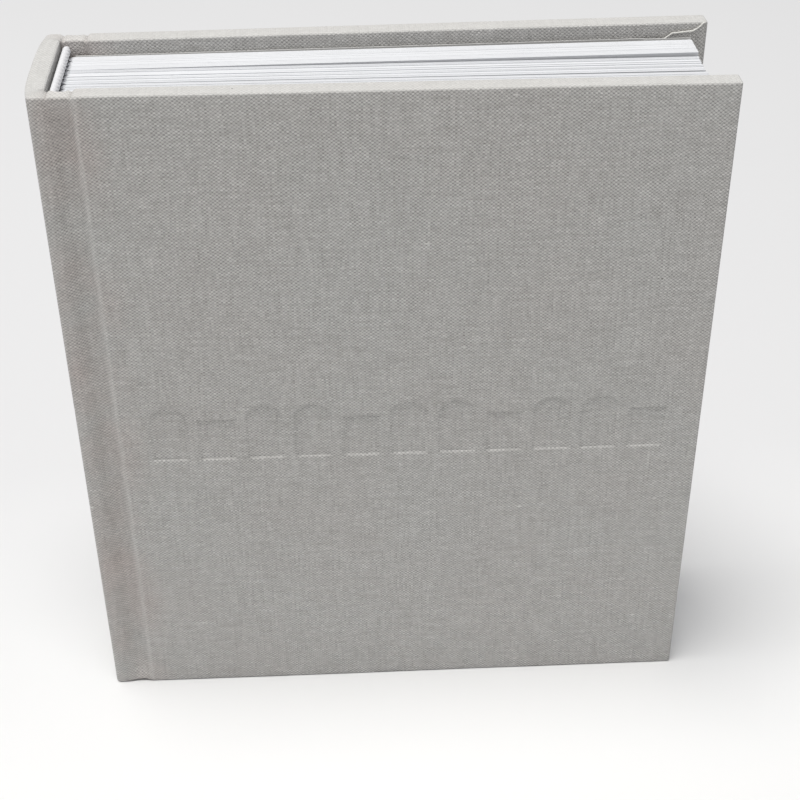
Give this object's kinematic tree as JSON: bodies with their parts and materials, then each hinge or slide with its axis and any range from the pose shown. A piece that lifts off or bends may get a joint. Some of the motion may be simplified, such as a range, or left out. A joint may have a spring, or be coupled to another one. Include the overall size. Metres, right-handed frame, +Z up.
{
  "type": "cloth-covered guest book",
  "caption": "Small square-spined hardback book in grey linen cloth, standing on its tail edge, with hinged covers and fanning sewn sections of blank white pages.",
  "frame": {"origin": "on the standing surface, under the middle of the book's bounding box", "axes": "+Z up from the tail edge to the head edge, +X from the spine to the fore edge, the front cover faces -Y and the back cover faces +Y"},
  "size_m": [0.1506, 0.039, 0.1675],
  "materials": {
    "linen_cloth": "matt plain-weave linen book cloth, grey-beige",
    "greyboard": "matt pressed grey board",
    "page_paper": "smooth uncoated white drawing paper",
    "endpaper": "smooth uncoated white paper",
    "mull": "open starched cotton gauze",
    "kraft_paper": "matt brown kraft paper",
    "band_cotton": "white woven cotton over a cord"
  },
  "bodies": {
    "spine": {"spine_board": "greyboard", "spine_cloth": "linen_cloth", "mull_lining": "mull", "spine_paper_lining": "kraft_paper", "headband": "band_cotton", "tailband": "band_cotton"},
    "front_cover": {"front_board": "greyboard", "front_cover_cloth": "linen_cloth", "front_pastedown": "endpaper"},
    "back_cover": {"back_board": "greyboard", "back_cover_cloth": "linen_cloth", "back_pastedown": "endpaper"},
    "section_01": {"section_01_sheet_1": "page_paper", "section_01_sheet_2": "page_paper", "section_01_sheet_3": "page_paper", "section_01_sheet_4": "page_paper", "front_flyleaf": "endpaper"},
    "section_02": {"section_02_sheet_1": "page_paper", "section_02_sheet_2": "page_paper", "section_02_sheet_3": "page_paper", "section_02_sheet_4": "page_paper"},
    "section_03": {"section_03_sheet_1": "page_paper", "section_03_sheet_2": "page_paper", "section_03_sheet_3": "page_paper", "section_03_sheet_4": "page_paper"},
    "section_04": {"section_04_sheet_1": "page_paper", "section_04_sheet_2": "page_paper", "section_04_sheet_3": "page_paper", "section_04_sheet_4": "page_paper"},
    "section_05": {"section_05_sheet_1": "page_paper", "section_05_sheet_2": "page_paper", "section_05_sheet_3": "page_paper", "section_05_sheet_4": "page_paper"},
    "section_06": {"section_06_sheet_1": "page_paper", "section_06_sheet_2": "page_paper", "section_06_sheet_3": "page_paper", "section_06_sheet_4": "page_paper"},
    "section_07": {"section_07_sheet_1": "page_paper", "section_07_sheet_2": "page_paper", "section_07_sheet_3": "page_paper", "section_07_sheet_4": "page_paper"},
    "section_08": {"section_08_sheet_1": "page_paper", "section_08_sheet_2": "page_paper", "section_08_sheet_3": "page_paper", "section_08_sheet_4": "page_paper"},
    "section_09": {"section_09_sheet_1": "page_paper", "section_09_sheet_2": "page_paper", "section_09_sheet_3": "page_paper", "section_09_sheet_4": "page_paper"},
    "section_10": {"section_10_sheet_1": "page_paper", "section_10_sheet_2": "page_paper", "section_10_sheet_3": "page_paper", "section_10_sheet_4": "page_paper", "back_flyleaf": "endpaper"}
  },
  "joints": [
    {"name": "front_cover_hinge", "type": "hinge", "parent": "spine", "child": "front_cover", "pos_m": [-0.06777, -0.01776, 0.08375], "axis": [0, 0, -1], "range_deg": [0, 175]},
    {"name": "back_cover_hinge", "type": "hinge", "parent": "spine", "child": "back_cover", "pos_m": [-0.06777, 0.01776, 0.08375], "axis": [0, 0, 1], "range_deg": [0, 175]},
    {"name": "section_01_turn", "type": "hinge", "parent": "spine", "child": "section_01", "pos_m": [-0.06777, -0.01271, 0.08375], "axis": [0, 0, -1], "range_deg": [0, 87.51]},
    {"name": "section_02_turn", "type": "hinge", "parent": "spine", "child": "section_02", "pos_m": [-0.06777, -0.01271, 0.08375], "axis": [0, 0, -1], "range_deg": [0, 68.07]},
    {"name": "section_03_turn", "type": "hinge", "parent": "spine", "child": "section_03", "pos_m": [-0.06777, -0.01271, 0.08375], "axis": [0, 0, -1], "range_deg": [0, 48.63]},
    {"name": "section_04_turn", "type": "hinge", "parent": "spine", "child": "section_04", "pos_m": [-0.06777, -0.01271, 0.08375], "axis": [0, 0, -1], "range_deg": [0, 29.18]},
    {"name": "section_05_turn", "type": "hinge", "parent": "spine", "child": "section_05", "pos_m": [-0.06777, -0.01271, 0.08375], "axis": [0, 0, -1], "range_deg": [0, 9.74]},
    {"name": "section_06_turn", "type": "hinge", "parent": "spine", "child": "section_06", "pos_m": [-0.06777, 0.01271, 0.08375], "axis": [0, 0, 1], "range_deg": [0, 9.74]},
    {"name": "section_07_turn", "type": "hinge", "parent": "spine", "child": "section_07", "pos_m": [-0.06777, 0.01271, 0.08375], "axis": [0, 0, 1], "range_deg": [0, 29.18]},
    {"name": "section_08_turn", "type": "hinge", "parent": "spine", "child": "section_08", "pos_m": [-0.06777, 0.01271, 0.08375], "axis": [0, 0, 1], "range_deg": [0, 48.63]},
    {"name": "section_09_turn", "type": "hinge", "parent": "spine", "child": "section_09", "pos_m": [-0.06777, 0.01271, 0.08375], "axis": [0, 0, 1], "range_deg": [0, 68.07]},
    {"name": "section_10_turn", "type": "hinge", "parent": "spine", "child": "section_10", "pos_m": [-0.06777, 0.01271, 0.08375], "axis": [0, 0, 1], "range_deg": [0, 87.51]}
  ],
  "couplings": [
    {"joint": "section_01_turn", "follows": "front_cover_hinge", "ratio": 0.5},
    {"joint": "section_02_turn", "follows": "front_cover_hinge", "ratio": 0.38889},
    {"joint": "section_03_turn", "follows": "front_cover_hinge", "ratio": 0.27778},
    {"joint": "section_04_turn", "follows": "front_cover_hinge", "ratio": 0.16667},
    {"joint": "section_05_turn", "follows": "front_cover_hinge", "ratio": 0.055556},
    {"joint": "section_06_turn", "follows": "back_cover_hinge", "ratio": 0.055556},
    {"joint": "section_07_turn", "follows": "back_cover_hinge", "ratio": 0.16667},
    {"joint": "section_08_turn", "follows": "back_cover_hinge", "ratio": 0.27778},
    {"joint": "section_09_turn", "follows": "back_cover_hinge", "ratio": 0.38889},
    {"joint": "section_10_turn", "follows": "back_cover_hinge", "ratio": 0.5}
  ]
}
